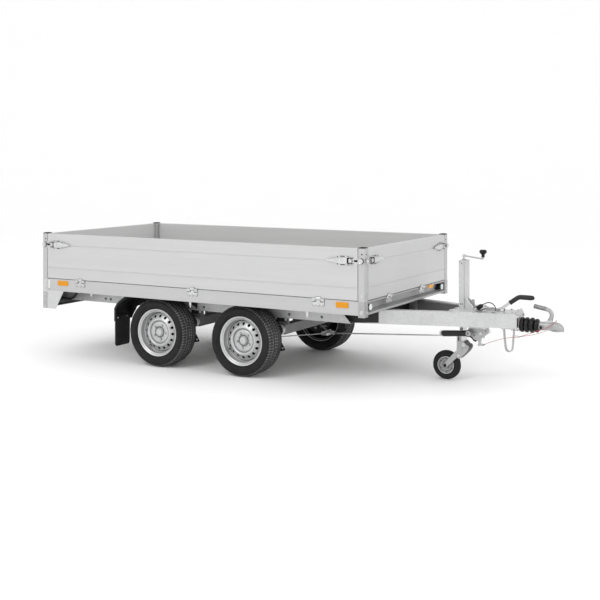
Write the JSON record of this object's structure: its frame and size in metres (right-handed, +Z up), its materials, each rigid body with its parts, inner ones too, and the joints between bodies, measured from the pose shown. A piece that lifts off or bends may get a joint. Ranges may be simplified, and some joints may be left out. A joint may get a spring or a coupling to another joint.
{
  "type": "flatbed trailer",
  "caption": "Tandem-axle flatbed trailer with hinged aluminium dropsides, V-drawbar, overrun coupling and folding jockey wheel.",
  "frame": {"origin": "middle of the footprint, on the ground", "axes": "+X forward along the drawbar, +Y to the trailer's left, +Z up"},
  "size_m": [4.077, 1.554, 1],
  "materials": {
    "aluminium_profile": "brushed, silver-anodised extrusion",
    "amber_lens": "amber prismatic reflector",
    "black_plastic": "moulded, fine grain",
    "black_steel": "satin black",
    "cable_red": "plastic-coated wire",
    "galvanised": "hot-dip galvanised, faint spangle",
    "lead_black": "smooth sheath",
    "phenolic_ply": "textured grey-brown film-faced plywood",
    "red_lens": "red lamp lens",
    "rubber_black": "satin",
    "silver_paint": "silver lacquer",
    "tyre_black": "matt tread, satin sidewall",
    "white_lens": "clear lamp lens with black foot",
    "zinc_bright": "bright zinc plated"
  },
  "bodies": {
    "chassis": {"bed_floor": "phenolic_ply", "side_rails": "aluminium_profile", "end_rails": "aluminium_profile", "corner_posts": "aluminium_profile", "post_caps": "black_plastic", "latch_knobs": "zinc_bright", "hinge_leaves": "zinc_bright", "amber_reflectors": "amber_lens", "marker_lamps": "white_lens", "rear_skirts": "galvanised", "rear_lamp_panel": "black_plastic", "tail_lamps": "red_lens", "cross_bearers": "galvanised", "chassis_beams": "galvanised", "drawbar_beams": "galvanised", "front_crossmember": "black_steel", "drawbar_brackets": "black_steel", "axle_tubes": "galvanised", "swing_arms": "black_steel", "wheel_guards": "black_plastic", "mud_flaps": "rubber_black", "overrun_housing": "galvanised", "bellows": "rubber_black", "coupling_head": "galvanised", "coupling_handle": "zinc_bright", "handbrake_lever": "zinc_bright", "handbrake_grip": "rubber_black", "jockey_post": "galvanised", "jockey_crank": "zinc_bright", "crank_knob": "black_plastic", "relay_plate": "zinc_bright", "release_lever": "zinc_bright", "release_grip": "rubber_black", "brake_rod": "zinc_bright", "rest_loop": "galvanised", "light_plug": "black_plastic", "plug_lead": "lead_black", "breakaway_cable": "cable_red", "cable_hook": "zinc_bright"},
    "dropside_right": {"right_board": "aluminium_profile", "right_board_fittings": "zinc_bright"},
    "dropside_left": {"left_board": "aluminium_profile", "left_board_fittings": "zinc_bright"},
    "dropside_front": {"front_board": "aluminium_profile", "front_board_fittings": "zinc_bright"},
    "dropside_rear": {"rear_board": "aluminium_profile", "rear_board_fittings": "zinc_bright"},
    "wheel_front_right": {"tyre_front_right": "tyre_black", "rim_front_right": "silver_paint"},
    "wheel_front_left": {"tyre_front_left": "tyre_black", "rim_front_left": "silver_paint"},
    "wheel_rear_right": {"tyre_rear_right": "tyre_black", "rim_rear_right": "silver_paint"},
    "wheel_rear_left": {"tyre_rear_left": "tyre_black", "rim_rear_left": "silver_paint"},
    "jockey_slider": {"jockey_leg": "zinc_bright"},
    "jockey_fork": {"jockey_arm": "zinc_bright"},
    "jockey_wheel": {"jockey_tyre": "tyre_black", "jockey_rim": "silver_paint"}
  },
  "joints": [
    {"name": "right_dropside", "type": "hinge", "parent": "chassis", "child": "dropside_right", "pos_m": [-0.5695, -0.766, 0.628], "axis": [1, 0, 0], "range_deg": [0, 180]},
    {"name": "left_dropside", "type": "hinge", "parent": "chassis", "child": "dropside_left", "pos_m": [-0.5695, 0.766, 0.628], "axis": [-1, 0, 0], "range_deg": [0, 180]},
    {"name": "front_dropside", "type": "hinge", "parent": "chassis", "child": "dropside_front", "pos_m": [0.8885, 0, 0.628], "axis": [0, 1, 0], "range_deg": [0, 100]},
    {"name": "rear_dropside", "type": "hinge", "parent": "chassis", "child": "dropside_rear", "pos_m": [-2.0275, 0, 0.628], "axis": [0, -1, 0], "range_deg": [0, 180]},
    {"name": "wheel_front_right_spin", "type": "hinge", "parent": "chassis", "child": "wheel_front_right", "pos_m": [-0.1625, -0.604, 0.262], "axis": [0, 1, 0], "continuous": true},
    {"name": "wheel_front_left_spin", "type": "hinge", "parent": "chassis", "child": "wheel_front_left", "pos_m": [-0.1625, 0.604, 0.262], "axis": [0, 1, 0], "continuous": true},
    {"name": "wheel_rear_right_spin", "type": "hinge", "parent": "chassis", "child": "wheel_rear_right", "pos_m": [-0.9285, -0.604, 0.262], "axis": [0, 1, 0], "continuous": true},
    {"name": "wheel_rear_left_spin", "type": "hinge", "parent": "chassis", "child": "wheel_rear_left", "pos_m": [-0.9285, 0.604, 0.262], "axis": [0, 1, 0], "continuous": true},
    {"name": "jockey_slide", "type": "slide", "parent": "chassis", "child": "jockey_slider", "axis": [0, 0, 1], "range_m": [-0.1, 0.1]},
    {"name": "jockey_fold", "type": "hinge", "parent": "jockey_slider", "child": "jockey_fork", "pos_m": [1.3055, 0, 0.232], "axis": [0, 1, 0], "range_deg": [0, 62]},
    {"name": "jockey_spin", "type": "hinge", "parent": "jockey_fork", "child": "jockey_wheel", "pos_m": [1.1795, 0, 0.105], "axis": [0, 1, 0], "continuous": true}
  ]
}
